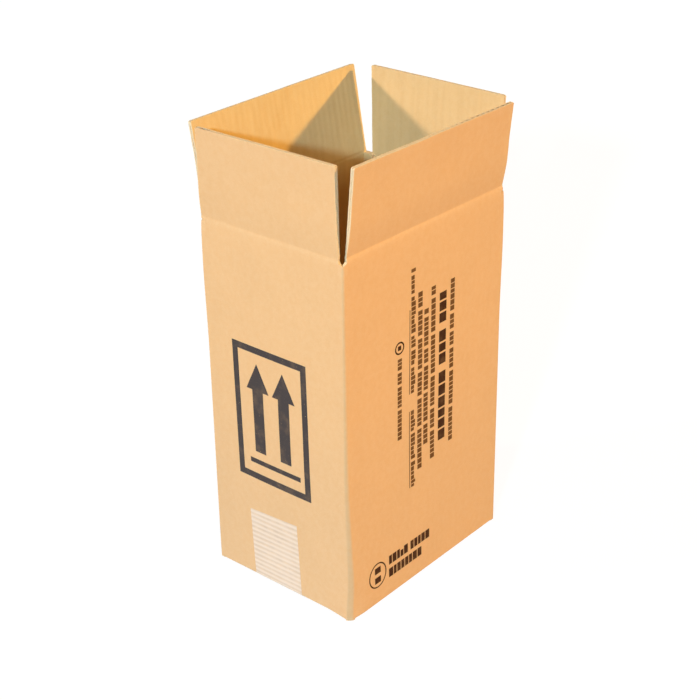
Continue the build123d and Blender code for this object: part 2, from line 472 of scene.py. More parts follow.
def noise(tree, place, scale, detail, roughness, distortion=0.0):
    names = ("Vector", "Scale", "Detail", "Roughness", "Distortion")
    sockets = dict(zip(names, (place, scale, detail, roughness, distortion)))
    return node(tree, "ShaderNodeTexNoise", sockets).outputs["Fac"]


def patches(tree, place, low, high, *kind):
    """Noise as patches: 0 below low, 1 above high. kind is its scale, detail, roughness and distortion."""
    return ramp(tree, noise(tree, place, *kind), low, high)


def attribute(tree, name):
    return node(tree, "ShaderNodeAttribute", attribute_name=name).outputs["Fac"]


def new_material(name, roughness=1.0, specular=0.5):
    material = bpy.data.materials.new(name)
    material.use_nodes = True
    tree = material.node_tree
    surface = tree.nodes["Principled BSDF"]
    surface.inputs["Roughness"].default_value = roughness
    surface.inputs["Specular IOR Level"].default_value = specular
    return material, tree, surface


def add_bump(tree, surface, height, strength, distance):
    made = node(tree, "ShaderNodeBump", {"Height": height, "Strength": strength, "Distance": distance})
    tree.links.new(made.outputs["Normal"], surface.inputs["Normal"])


def object_place(tree, stretch=(1.0, 1.0, 1.0)):
    coordinates = node(tree, "ShaderNodeTexCoord").outputs["Object"]
    return node(tree, "ShaderNodeMapping", {"Vector": coordinates, "Scale": stretch}).outputs["Vector"]


# Materials

KRAFT = (0.89, 0.53, 0.252, 1.0)
KRAFT_DARK = (0.68, 0.38, 0.165, 1.0)
KRAFT_PALE = (0.95, 0.66, 0.37, 1.0)
KRAFT_INSIDE = (0.86, 0.63, 0.31, 1.0)
KRAFT_INSIDE_DARK = (0.65, 0.42, 0.18, 1.0)
KRAFT_INSIDE_PALE = (0.90, 0.73, 0.42, 1.0)
# Painted shade as multipliers: a darker copy of the back flap's inside liner, the inside towards the box's
# depth, and the outside towards its foot
BACK_SHADE = (0.97, 0.91, 0.88)
DEEP_SHADE = (0.72, 0.56, 0.38, 1.0)
FOOT_SHADE = (0.93, 0.96, 1.02, 1.0)
RAW_EDGE = (0.92, 0.74, 0.47, 1.0)
RAW_EDGE_DARK = (0.74, 0.55, 0.33, 1.0)
FLUTE_PAPER = (0.46, 0.25, 0.11, 1.0)
SIGN_INK = (0.070, 0.056, 0.053, 1.0)
LINES_INK = (0.050, 0.016, 0.004, 1.0)
FINE_LINES_INK = (0.16, 0.070, 0.022, 1.0)
TAPE_FILM = (0.67, 0.495, 0.36, 1.0)
TAPE_PALE = (0.91, 0.73, 0.585, 1.0)

OUTSIDE_TONES = (KRAFT, KRAFT_DARK, KRAFT_PALE)
INSIDE_TONES = (KRAFT_INSIDE, KRAFT_INSIDE_DARK, KRAFT_INSIDE_PALE)


def shaded(tones, shade):
    """The same liner a little darker, as a copy with painted shade."""
    return tuple((*(part * share for part, share in zip(tone, shade)), 1.0) for tone in tones)


def kraft_colour(tree, tones=OUTSIDE_TONES, painted_flute_shade=0.025):
    """Kraft liner: blotches, painted shade in streaks along the flutes for the washboard's shading, a fine
    mottle, fibres across the flutes, dark specks and pale flecks, and rubbed places where the piece is
    worn."""
    place = object_place(tree)
    along_flutes = object_place(tree, (1, 1, 0.05))
    fibres = patches(tree, object_place(tree, (1, 1, 3.2)), 0.35, 0.72, 620, 3, 0.7, 0.4)
    colour, dark, pale = tones
    for tone, strength, mask in (
        (dark, 0.10, patches(tree, place, 0.3, 0.7, 22, 3, 0.55)),
        # Painted shade: dark streaks along the flutes for the washboard's shading
        (dark, painted_flute_shade, patches(tree, along_flutes, 0.35, 0.65, 170, 2, 0.5)),
        (pale, 0.19, patches(tree, place, 0.32, 0.68, 210, 4, 0.62)),
        (dark, 0.155, fibres),
        (dark, 0.35, patches(tree, place, 0.69, 0.76, 900, 2, 0.6)),
        (pale, 0.25, patches(tree, place, 0.66, 0.76, 520, 2, 0.6, 0.8)),
    ):
        colour = tint(tree, colour, tone, mask, strength)
    scuffs = patches(tree, place, 0.25, 0.7, 380, 4, 0.7)
    rubbed = calculate(tree, "MULTIPLY", attribute(tree, "wear"), scuffs)
    return tint(tree, colour, pale, rubbed, 0.65), fibres


def kraft_material(name, tones, painted_flute_shade):
    material, tree, surface = new_material(name, 0.86, 0.22)
    colour, fibres = kraft_colour(tree, tones, painted_flute_shade)
    # Painted shade: the outside darker towards its foot, the inside darker towards the box's depth
    if tones is OUTSIDE_TONES:
        height = node(tree, "ShaderNodeSeparateXYZ", {0: object_place(tree)}).outputs["Z"]
        above = ramp(tree, height, FOOT_SHADE_FULL * MM, FOOT_SHADE_START * MM)
        painted_shade_share = calculate(tree, "SUBTRACT", 1.0, above)
        shade = FOOT_SHADE
    else:
        painted_shade_share = attribute(tree, "painted_depth_shade")
        shade = DEEP_SHADE
    colour = mix(tree, painted_shade_share, colour, mix(tree, 1.0, colour, shade, "MULTIPLY"))
    tree.links.new(colour, surface.inputs["Base Color"])
    grain = noise(tree, object_place(tree), 1500, 2, 0.6)
    height = calculate(tree, "ADD", fibres, calculate(tree, "MULTIPLY", grain, 0.6))
    add_bump(tree, surface, height, 0.10, 0.00012)
    return material


def raw_edge_material():
    """The cut edge of board: torn fibre, pale on its tufts and dark in its pits."""
    material, tree, surface = new_material("cut_board_edge", 0.95)
    place = object_place(tree)
    torn = patches(tree, place, 0.38, 0.62, 900, 4, 0.7, 0.6)
    tufts = patches(tree, place, 0.35, 0.70, 260, 3, 0.6)
    colour = tint(tree, RAW_EDGE, RAW_EDGE_DARK, torn, 0.5)
    tree.links.new(tint(tree, colour, KRAFT_PALE, tufts, 0.5), surface.inputs["Base Color"])
    add_bump(tree, surface, torn, 0.5, 0.0002)
    return material


def flute_paper_material():
    """The wavy medium between the liners: darker recycled paper."""
    material, tree, surface = new_material("flute_paper", 0.92)
    mottle = patches(tree, object_place(tree), 0.3, 0.7, 420, 4, 0.65)
    tree.links.new(tint(tree, FLUTE_PAPER, KRAFT_DARK, mottle, 0.5), surface.inputs["Base Color"])
    return material


def ink_material(name, ink):
    """Print that hasn't quite covered the board: small pinholes, and a thin place here and there."""
    material, tree, surface = new_material(name, 0.8, 0.12)
    board, fibres = kraft_colour(tree)
    place = object_place(tree)
    pinholes = calculate(tree, "MULTIPLY", patches(tree, place, 0.66, 0.76, 780, 3, 0.65), 0.55)
    thin = calculate(tree, "MULTIPLY", patches(tree, place, 0.45, 0.75, 90, 3, 0.6), 0.07)
    bare = calculate(tree, "MAXIMUM", pinholes, thin)
    tree.links.new(mix(tree, bare, ink, board), surface.inputs["Base Color"])
    return material


def tape_material():
    """Ribbed film over board: pale on its ribs, with the board's tone showing between them."""
    material, tree, surface = new_material("ribbed_tape_film", 0.38, 0.4)
    haze = patches(tree, object_place(tree), 0.3, 0.7, 120, 3, 0.6)
    streaks = patches(tree, object_place(tree, (1, 1, 9)), 0.3, 0.7, 150, 3, 0.6)
    film = tint(tree, TAPE_FILM, TAPE_PALE, haze, 0.35)
    film = tint(tree, film, KRAFT_PALE, streaks, 0.45)
    film = tint(tree, film, TAPE_PALE, attribute(tree, "wear"), 0.85)
    tree.links.new(film, surface.inputs["Base Color"])
    return material


# The last number is how strong the painted washboard shade along the flutes is
liner_outside = kraft_material("kraft_liner", OUTSIDE_TONES, 0.025)
liner_inside = kraft_material("kraft_liner_inside", INSIDE_TONES, 0.16)
liner_inside_painted_shade = kraft_material("kraft_liner_back_inside_painted_shade", shaded(INSIDE_TONES, BACK_SHADE), 0.16)
raw_edge = raw_edge_material()
flute_paper = flute_paper_material()
sign_ink = ink_material("sign_ink", SIGN_INK)
lines_ink = ink_material("lines_ink", LINES_INK)
fine_lines_ink = ink_material("fine_lines_ink", FINE_LINES_INK)
tape_film = tape_material()
BODY_MATERIALS = (liner_outside, liner_inside, raw_edge, flute_paper)
OUTSIDE, INSIDE, EDGE, PAPER = range(4)
SHEET = (OUTSIDE, INSIDE, EDGE)


# The box's body

def spaced(start, end, step):
    return np.linspace(start, end, max(2, ceil(abs(end - start) / step) + 1))


FOLDS = {
    "front": (1.4, 3.8, 0.8),
    "right": (1.0, 1.2, 0.1),
    "left": (1.0, 1.3, 0.1),
}
FOLD_STEPS = 10
SHOULDER_START = 7.0
SHOULDER_STEPS = (0.2, 0.4, 0.6, 0.8)
HEAD_ROWS = 7


def corner_radius(corner, z):
    """A vertical fold's outer radius and how flat it is crushed. Both grow towards the foot."""
    top, foot, flat = FOLDS[corner]
    share = np.clip(1 - z / RING_TOP, 0, 1) ** 2.0
    return top + (foot - top) * share, flat * (0.35 + 0.65 * share)


def column(place, z):
    """Points over one place in plan, or over one for each height."""
    return np.concatenate([np.broadcast_to(place, (len(z), 2)), z[:, None]], axis=1)


def wall_columns(wall, z):
    """Outer and inner points of a wall's flat part, between the shoulders of its folds."""
    a = spaced(-wall.half_run + SHOULDER_START, wall.half_run - SHOULDER_START, WALL_COLUMN)
    a = np.unique(np.round(np.append(a, (-wall.flap_half, wall.flap_half)), 6))
    a = a[np.abs(a) <= wall.half_run - SHOULDER_START + 1e-6]
    v = (z - wall.crease)[:, None]
    return wall.place(a, v, wall.outer(a, v)), wall.place(a, v, wall.inner(a, v))


def fold_columns(wall, following, z):
    """Outer and inner points from a wall's last flat column, round the fold, to the next wall's first."""
    radius, flat = corner_radius(wall.side, z)
    square = wall.normal * wall.reach + wall.tangent * wall.half_run
    corner = square - np.multiply.outer(wall.corner_score(z), wall.normal)
    corner = corner - np.multiply.outer(following.corner_score(z), wall.tangent)
    outer = []
    inner = []

    def add_shoulder(share, along, across):
        """A column on the board beside the fold, which runs back from the corner along one wall."""
        back = SHOULDER_START - (SHOULDER_START - radius) * share
        outer.append(column(corner - np.multiply.outer(back, along), z))
        inner_back = SHOULDER_START - (SHOULDER_START - BOARD - INNER_FOLD_RADIUS) * share
        inner.append(column(square - across * BOARD - along * inner_back, z))

    for share in SHOULDER_STEPS:
        add_shoulder(share, wall.tangent, wall.normal)
    for step in range(FOLD_STEPS + 1):
        share = step / FOLD_STEPS
        angle = share * pi / 2
        arc = wall.normal * (cos(angle) - 1) + wall.tangent * (sin(angle) - 1)
        chord = -wall.tangent * (1 - share) - wall.normal * share
        bend = np.multiply.outer(1 - flat, arc) + np.multiply.outer(flat, chord)
        outer.append(column(corner + radius[:, None] * bend, z))
        inner.append(column(square - (wall.normal + wall.tangent) * BOARD + arc * INNER_FOLD_RADIUS, z))
    for share in SHOULDER_STEPS[::-1]:
        add_shoulder(share, wall.normal, wall.tangent)
    return np.stack(outer, axis=1), np.stack(inner, axis=1)


def wall_ring(mesh):
    """The four walls as one sheet, from the back wall's cut end round to the glued lap."""
    z = np.concatenate([spaced(FLOOR_FOLD_RADIUS + board_floor, 20, 3), spaced(20, RING_TOP, 5)[1:]])
    strips = [lap_columns(z)]
    for wall, following in ((left, front), (front, right), (right, back), (back, None)):
        strips.append(wall_columns(wall, z))
        if following:
            strips.append(fold_columns(wall, following, z))
    strips.append(cut_end_columns(z))
    mesh.add_shell(*(np.concatenate(part, axis=1) for part in zip(*strips)), SHEET)


def lap_columns(z):
    """The glued lap inside the back wall and the fold that carries it, from the lap's cut end."""
    share = (z - z[0]) / (z[-1] - z[0])
    outer = []
    inner = []
    for reach in spaced(LAP_WIDTH, 0, 4):
        bevel = LAP_BEVEL * reach / LAP_WIDTH
        height = (LAP_LOW + bevel) + share * (LAP_HIGH - LAP_LOW - 2 * bevel)
        x = -left.reach + BOARD + reach
        outer.append(column((x, back.reach - BOARD), height))
        inner.append(column((x, back.reach - 2 * BOARD), height))
    sides = zip((outer, inner), lap_fold(z))
    return [np.concatenate([np.stack(flat, axis=1), fold], axis=1) for flat, fold in sides]


def lap_fold(z):
    """The fold that turns the left wall's board into the glued lap."""
    centre = np.array([-left.reach + BOARD, back.reach - 2 * BOARD])
    outer = []
    inner = []
    for step in range(FOLD_STEPS + 1):
        angle = pi / 2 * (1 + step / FOLD_STEPS)
        outer.append(column(centre + BOARD * np.array([cos(angle), sin(angle)]), z))
        inner.append(column(centre, z))
    return np.stack(outer, axis=1), np.stack(inner, axis=1)


def cut_end_columns(z):
    """The end of the back wall's board, cut square at the back left corner."""
    x = -left.reach + CUT_END_INSET
    return column((x, back.reach), z)[:, None], column((x, back.reach - BOARD), z)[:, None]


def fold_heads_and_feet(mesh):
    """Each vertical fold above the ring, up to the rounded end of its slot, and below it, to its foot."""
    for wall, following in ((left, front), (front, right), (right, back)):
        for head in (True, False):
            low = RING_TOP if head else board_floor + HEEL_CLEARANCE
            high = SLOT_BOTTOM if head else board_floor + FLOOR_FOLD_RADIUS
            z = np.linspace(low, high, HEAD_ROWS)
            outer, inner = fold_columns(wall, following, z)
            keep = fold_slice(wall, following, outer)
            outer = outer[:, keep].copy()
            inner = inner[:, keep].copy()
            columns = outer.shape[1]
            if head:
                across = np.linspace(-1, 1, columns)
                rise = SLOT_ROUNDING * (1 - np.sqrt(1 - SLOT_ROUNDING_SHARE * across**2))
                rise = rise * np.linspace(0, 1, HEAD_ROWS)[:, None]
            else:
                rise = 0.0 if wall is front else FOOT_ROUNDING
                rise = rise * np.linspace(1, 0, HEAD_ROWS)[:, None] * np.ones(columns)
            outer[..., 2] += rise
            inner[..., 2] += rise
            mesh.add_shell(outer, inner, SHEET, HEAD_WEAR)
    z = np.linspace(RING_TOP, JOINT_SLOT_BOTTOM, 5)
    mesh.add_shell(*lap_fold(z), SHEET, HEAD_WEAR)
    x = np.linspace(-left.reach + CUT_END_INSET, -JOINT_SLOT_END, 5)
    for low, high in ((0.0, BOARD), (BOARD, 2 * BOARD)):
        face, rear = (
            np.stack([column((place, back.reach - depth), z) for place in x], axis=1)
            for depth in (low, high)
        )
        mesh.add_shell(face, rear, SHEET, HEAD_WEAR, HEAD_WEAR)


def fold_slice(wall, following, outer):
    """The columns of a fold in the slot between two flaps. They reach each flap's edge."""
    middle = outer[0, :, :2]
    along = middle @ wall.tangent
    along_next = middle @ following.tangent
    reached = along[along <= wall.flap_half + 0.05].max(initial=-np.inf)
    reached_next = along_next[along_next >= -following.flap_half - 0.05].min(initial=np.inf)
    past_first = along >= min(wall.ends[1][0] - 0.05, wall.flap_half - 0.05, reached)
    before_next = along_next <= max(following.ends[0][0] + 0.05, -following.flap_half + 0.05, reached_next)
    return past_first & before_next


def bottom_flaps(mesh):
    """The taped bottom: wide flaps outside, meeting in the middle, and narrow ones on top of them."""
    arc = np.linspace(0, pi / 2, 9)
    for wall in walls:
        a = spaced(-wall.flap_half, wall.flap_half, 3.0)
        if wall.is_wide:
            flat = spaced(FLOOR_FOLD_RADIUS, wall.reach - SEAM_HALF, 8)
            sides = []
            for depth, radius in ((0.0, FLOOR_FOLD_RADIUS), (BOARD, INNER_FOLD_RADIUS)):
                inward = np.concatenate([depth + radius * (1 - np.cos(arc)), flat[1:]])
                up = np.concatenate([depth + radius * (1 - np.sin(arc)), 0 * flat[1:] + depth])
                sides.append(profile_grid(wall, a, inward, up))
            mesh.add_shell(*sides, SHEET)
        else:
            narrow_bottom_flap(mesh, wall, a, arc)


def narrow_bottom_flap(mesh, wall, a, arc):
    """A narrow flap: its heel stands on the floor, and its leaf lies on the wide flaps."""
    ply = BOARD + PLY_GAP
    heel_in = np.concatenate([[0.0], HEEL_RADIUS * (1 - np.cos(arc)), [BOARD]])
    heel_up = np.concatenate([[FLOOR_FOLD_RADIUS], HEEL_RADIUS * (1 - np.sin(arc)), [0.0]])
    back_up = np.linspace(FLOOR_FOLD_RADIUS, 0.0, len(heel_in))
    heel = profile_grid(wall, a, heel_in, heel_up)
    mesh.add_shell(heel, profile_grid(wall, a, np.full_like(heel_in, BOARD), back_up), SHEET)
    leaf = spaced(BOARD - LEAF_OVERLAP, wall.hinge_depth + wall.flap_length, 8)
    faces = (profile_grid(wall, a, leaf, np.full_like(leaf, up)) for up in (ply, ply + BOARD))
    mesh.add_shell(*faces, SHEET)


def profile_grid(wall, a, inward, up):
    """A grid along a wall, from how far inward and how far up each line of it lies."""
    flat = np.multiply.outer(wall.reach - inward, wall.normal)[:, None, :]
    flat = flat + np.multiply.outer(a, wall.tangent)[None, :, :]
    height = np.broadcast_to((board_floor + up)[:, None, None], (*flat.shape[:2], 1))
    return np.concatenate([flat, height], axis=2)


def make_body():
    mesh = Mesh()
    wall_ring(mesh)
    fold_heads_and_feet(mesh)
    bottom_flaps(mesh)
    made = mesh.to_object("box_board", BODY_MATERIALS)
    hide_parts("box_body")
    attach(made, "box")


# The top flaps

def flap_rows(wall):
    ring = RING_TOP - wall.crease
    return np.concatenate([
        spaced(ring, -4, 1.6),
        spaced(-4, 4, 0.5)[1:],
        spaced(4, 12, 1.6)[1:],
        spaced(12, wall.flap_length - 2, 5)[1:],
        [wall.flap_length - 0.8, wall.flap_length],
    ])


def flap_columns(wall):
    return np.concatenate([
        [-wall.flap_half, -wall.flap_half + 0.4],
        spaced(-wall.flap_half + 1.2, wall.flap_half - 1.2, COLUMN),
        [wall.flap_half - 0.4, wall.flap_half],
    ])


def ragged_grid(wall, a, v, seed):
    """The sheet's own coordinates, with its cut edges a little uneven and its corners rubbed round."""
    along = np.broadcast_to(a, (len(v), len(a))).copy()
    up = np.broadcast_to(v[:, None], along.shape).copy()
    above_slot = smooth((v + 3) / 5)
    for edge, sign in ((0, 1), (-1, -1)):
        along[:, edge] += sign * RAGGED * above_slot * (1 + wander(v * 2.3, seed + edge))
    up[-1, :] -= RAGGED * RAGGED_TOP_SHARE * (1 + wander(a * 1.7, seed + 5))
    near_top = smooth(1 - (wall.flap_length - v) / CORNER_WEAR_HEIGHT)[:, None]
    up -= CORNER_WEAR * near_top * smooth(1 - (wall.flap_half - np.abs(a)) / CORNER_WEAR_WIDTH) ** 2
    return wall.spread(along, up)


def liner_thickness(wall, a, v):
    """How far a liner reaches into the board: at the cut edges the two are crushed almost shut."""
    open_part = 0.0 * a
    if wall is right:
        open_part = RIGHT_OPEN * over(a, RIGHT_OPEN_SPAN) * (0.45 + 1.1 * wander(a * 0.9, 61))
    if wall is front:
        open_part = FRONT_OPEN * over(a, FRONT_OPEN_SPAN)
    side = smooth(1 - (wall.flap_half - np.abs(a)) / CRUSH_WIDTH) * smooth((v[:, None] + 4) / 2)
    end = smooth(1 - (wall.flap_length - v[:, None]) / CRUSH_WIDTH) * (1 - np.clip(open_part, 0, 1))
    seam = SEAM_OPENING * (1 + SEAM_UNEVEN * wander(a * 1.3 + v[:, None] * 1.1, wall.seed + 9))
    return LINER + np.maximum(side, end) * (BOARD / 2 - LINER - seam)


def flap_wear(wall, a, v):
    """Rubbed places: along the cut edges and on the crease."""
    side = smooth(1 - (wall.flap_half - np.abs(a)) / SIDE_WEAR_WIDTH)
    end = smooth(1 - (wall.flap_length - v) / TOP_WEAR_HEIGHT)
    crease = CREASE_WEAR * np.exp(-(((v - wall.shift + CREASE_WEAR_DROP) / CREASE_WEAR_HALF) ** 2))
    return np.clip(np.maximum(np.maximum(side * (v > 0), end), crease), 0, 1)


def medium_tree():
    """Geometry nodes: the wavy medium of one flap, flat, with its wave across X and its length along Y."""
    tree = bpy.data.node_groups.new("flute_medium", "GeometryNodeTree")
    face = tree.interface
    for kind, names in (
        ("Float", ("Half Width", "Start", "End", "Pitch", "Height")),
        ("Int", ("Columns", "Rows")),
        ("Material", ("Paper",)),
    ):
        for name in names:
            face.new_socket(name=name, in_out="INPUT", socket_type=f"NodeSocket{kind}")
    face.new_socket(name="Geometry", in_out="OUTPUT", socket_type="NodeSocketGeometry")
    given = node(tree, "NodeGroupInput").outputs
    grid = node(tree, "GeometryNodeMeshGrid", {
        "Size X": calculate(tree, "MULTIPLY", given["Half Width"], 2.0),
        "Size Y": calculate(tree, "SUBTRACT", given["End"], given["Start"]),
        "Vertices X": given["Columns"],
        "Vertices Y": given["Rows"],
    })
    apart = node(tree, "ShaderNodeSeparateXYZ", {0: node(tree, "GeometryNodeInputPosition").outputs[0]})
    waves = calculate(tree, "DIVIDE", apart.outputs["X"], given["Pitch"])
    turn = calculate(tree, "MULTIPLY", waves, 2 * pi)
    wave = calculate(tree, "MULTIPLY", calculate(tree, "COSINE", turn), given["Height"])
    middle = calculate(tree, "MULTIPLY", calculate(tree, "ADD", given["Start"], given["End"]), 0.5)
    lift = node(tree, "ShaderNodeCombineXYZ", {"Y": middle, "Z": wave}).outputs[0]
    moved = node(tree, "GeometryNodeSetPosition", {0: grid.outputs["Mesh"], "Offset": lift})
    whole = node(tree, "GeometryNodeRealizeInstances", {0: moved.outputs[0]})
    coloured = node(tree, "GeometryNodeSetMaterial", {0: whole.outputs[0], "Material": given["Paper"]})
    node(tree, "NodeGroupOutput", {"Geometry": coloured.outputs[0]})
    return tree


def run_tree(name, tree, values, thickness):
    """Runs a geometry node tree on an empty mesh, and gives the result as a plain mesh."""
    carrier = add_object(name, bpy.data.meshes.new(name))
    modifier = carrier.modifiers.new("nodes", "NODES")
    modifier.node_group = tree
    for item in tree.interface.items_tree:
        if item.in_out == "INPUT" and item.name in values:
            modifier[item.identifier] = values[item.name]
    solid = carrier.modifiers.new("thickness", "SOLIDIFY")
    solid.thickness = thickness
    solid.offset = 0.0
    evaluated = carrier.evaluated_get(bpy.context.evaluated_depsgraph_get())
    result = bpy.data.meshes.new_from_object(evaluated)
    bpy.data.objects.remove(carrier)
    return result


def add_medium(mesh, wall, tree):
    """Lays the wavy medium between a flap's liners."""
    flat = run_tree(f"{wall.side}_medium", tree, {
        "Half Width": wall.flap_half - MEDIUM_INSET,
        "Start": RING_TOP - wall.crease,
        "End": wall.flap_length - MEDIUM_INSET,
        "Columns": int(2 * wall.flap_half / FLUTE_PITCH * COLUMNS_PER_FLUTE),
        "Rows": MEDIUM_ROWS,
        "Pitch": FLUTE_PITCH,
        "Height": (BOARD - 2 * LINER - MEDIUM) / 2,
        "Paper": flute_paper,
    }, MEDIUM)
    co = np.empty(len(flat.vertices) * 3)
    flat.vertices.foreach_get("co", co)
    a, v, lift = co.reshape(-1, 3).T
    a, v = wall.spread(a, v)
    outer = wall.outer(a, v)
    inner = wall.inner(a, v)
    room = np.clip((inner - outer - 2 * LINER) / (BOARD - 2 * LINER), 0, 1)
    lift = lift * room * MEDIUM_SLACK * smooth(np.abs(v - wall.shift) / 6)
    index = mesh.add_points(wall.place(a, v, (outer + inner) / 2 - lift), 0.0)
    for face in flat.polygons:
        mesh.faces.append([int(index[corner]) for corner in face.vertices])
        mesh.slots.append(PAPER)
    bpy.data.meshes.remove(flat)


def make_flap(wall, tree):
    mesh = Mesh()
    a = flap_columns(wall)
    v = flap_rows(wall)
    thickness = liner_thickness(wall, a, v)
    for seed, depth, inwards, slots in (
        (wall.seed, wall.outer, 1, (OUTSIDE, EDGE, EDGE)),
        (wall.seed + 3, wall.inner, -1, (INSIDE, EDGE, EDGE)),
    ):
        along, up = ragged_grid(wall, a, v, seed)
        skin = depth(along, up)
        face = wall.place(along, up, skin)
        rear = wall.place(along, up, skin + inwards * thickness)
        mesh.add_shell(face, rear, slots, flap_wear(wall, a[None, :], v[:, None]))
    add_medium(mesh, wall, tree)
    # The back flap's inside liner is a copy with painted shade
    lining = liner_inside_painted_shade if wall is back else liner_inside
    made = mesh.to_object(f"{wall.side}_flap_board", (liner_outside, lining, raw_edge, flute_paper))
    body = f"{wall.side}_flap"
    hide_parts(body)
    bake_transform(made)


# Print

def add_patch(mesh, wall, corners, slot=0):
    """A flat shape with four corners (along, up), laid on a wall's outer face."""
    corners = np.array(corners, float)
    wide = max(np.linalg.norm(corners[1] - corners[0]), np.linalg.norm(corners[2] - corners[3]))
    tall = max(np.linalg.norm(corners[3] - corners[0]), np.linalg.norm(corners[2] - corners[1]))
    s = spaced(0, wide, PATCH_COLUMN)[None, :, None] / wide
    t = spaced(0, tall, PATCH_ROW)[:, None, None] / tall
    low = corners[0] * (1 - s) + corners[1] * s
    high = corners[3] * (1 - s) + corners[2] * s
    flat = low * (1 - t) + high * t
    a = flat[..., 0]
    v = flat[..., 1] - wall.crease
    top = wall.place(a, v, wall.outer(a, v) - PRINT_LIFT)
    mesh.add_grid(mesh.add_points(top, 0.0), slot)


def rectangle(left_edge, right_edge, low, high):
    return ((left_edge, low), (right_edge, low), (right_edge, high), (left_edge, high))


def finish_print(mesh, name, inks):
    """Makes the print's object, with the points that its patches share made one."""
    made = mesh.to_object(name, inks)
    rework(made.data, lambda work: bmesh.ops.remove_doubles(work, verts=work.verts, dist=1e-6))
    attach(made, "box")


def make_sign():
    """The framed sign on the front wall: two upright arrows over a bar, printed a little askew."""
    mesh = Mesh()

    def lay(corners):
        add_patch(mesh, front, [(a + SIGN_SKEW * (SIGN_HIGH - z), z) for a, z in corners])

    outer, inner = (
        rectangle(SIGN_LEFT + inset, SIGN_RIGHT - inset, SIGN_LOW + inset, SIGN_HIGH - inset)
        for inset in (0.0, SIGN_LINE)
    )
    for side in range(4):
        following = (side + 1) % 4
        lay((outer[side], outer[following], inner[following], inner[side]))
    for centre in ARROW_CENTRES:
        lay(rectangle(centre - ARROW_HALF_SHAFT, centre + ARROW_HALF_SHAFT, ARROW_FOOT, ARROW_SHOULDER))
        lay((
            (centre - ARROW_HALF_HEAD, ARROW_SHOULDER),
            (centre + ARROW_HALF_HEAD, ARROW_SHOULDER),
            (centre + 0.1, ARROW_TIP),
            (centre - 0.1, ARROW_TIP),
        ))
    lay(rectangle(BAR_LEFT, BAR_RIGHT, BAR_LOW, BAR_HIGH))
    finish_print(mesh, "arrow_sign", (sign_ink,))


def add_line(mesh, wall, band, run, pitch, rng, tall_share=1.0, upright=True, slot=0):
    """A line of plain blocks in groups. upright lines run up the wall, others along it."""
    low, high = band
    place = run[0]
    while place < run[1] - 0.4 * pitch:
        for _ in range(int(rng.integers(3, 9))):
            width = pitch * rng.uniform(0.56, 0.88)
            if place + width > run[1] + 0.5:
                break
            tall = (high - low) * (1.0 if rng.random() < tall_share else 0.74)
            over_band, over_run = (low, low + tall), (place, place + width)
            edges = over_band + over_run if upright else over_run + over_band
            add_patch(mesh, wall, rectangle(*edges), slot)
            place += width + pitch * 0.14
        place += pitch * 0.45


def add_ring(mesh, wall, centre, half_wide, half_tall, line):
    """A plain oval ring."""
    turn = np.linspace(0, 2 * pi, 57)
    rims = []
    for inset in (0.0, line):
        a = centre[0] + (half_wide - inset) * np.cos(turn)
        v = centre[1] + (half_tall - inset) * np.sin(turn) - wall.crease
        rims.append(wall.place(a, v, wall.outer(a, v) - PRINT_LIFT))
    mesh.add_grid(mesh.add_points(np.stack(rims), 0.0), 0)


def make_lines():
    """Plain blocks and rings in place of the lines of print on the right wall."""
    mesh = Mesh()
    rng = np.random.default_rng(5)
    fine = {"slot": 1}
    add_line(mesh, right, (28.0, 33.0), (107.0, 251.5), 5.0, rng, **fine)
    add_line(mesh, right, (14.5, 26.0), (113.0, 241.0), 11.5, rng, 0.35)
    add_line(mesh, right, (4.4, 9.6), (101.0, 251.5), 5.0, rng, **fine)
    add_line(mesh, right, (-4.0, 1.2), (117.5, 237.0), 5.0, rng, **fine)
    add_line(mesh, right, (-11.5, -6.3), (98.5, 254.5), 5.0, rng, **fine)
    for low, high, line_end in ((169.0, 272.0, 240.0), (86.0, 154.0, 154.0)):
        add_line(mesh, right, (-19.6, -14.4), (low, high), 4.4, rng, 0.4, **fine)
        add_patch(mesh, right, rectangle(-21.6, -20.8, low, line_end), slot=1)
    add_line(mesh, right, (-35.3, -30.5), (134.5, 205.0), 4.2, rng, **fine)
    add_ring(mesh, right, (-33.2, 213.0), 5.4, 5.3, 1.4)
    add_patch(mesh, right, rectangle(-35.2, -31.4, 211.2, 215.0))
    add_ring(mesh, right, (-63.0, 26.8), 10.6, 11.3, 1.2)
    add_patch(mesh, right, rectangle(-66.6, -59.4, 28.4, 34.0))
    add_patch(mesh, right, rectangle(-66.6, -59.4, 19.6, 25.2))
    add_line(mesh, right, (29.1, 37.1), (-48.9, 8.5), 5.9, rng, 0.9, False)
    add_line(mesh, right, (17.4, 25.4), (-49.2, -4.7), 6.2, rng, 0.9, False)
    finish_print(mesh, "printed_lines", (lines_ink, fine_lines_ink))


# Tape

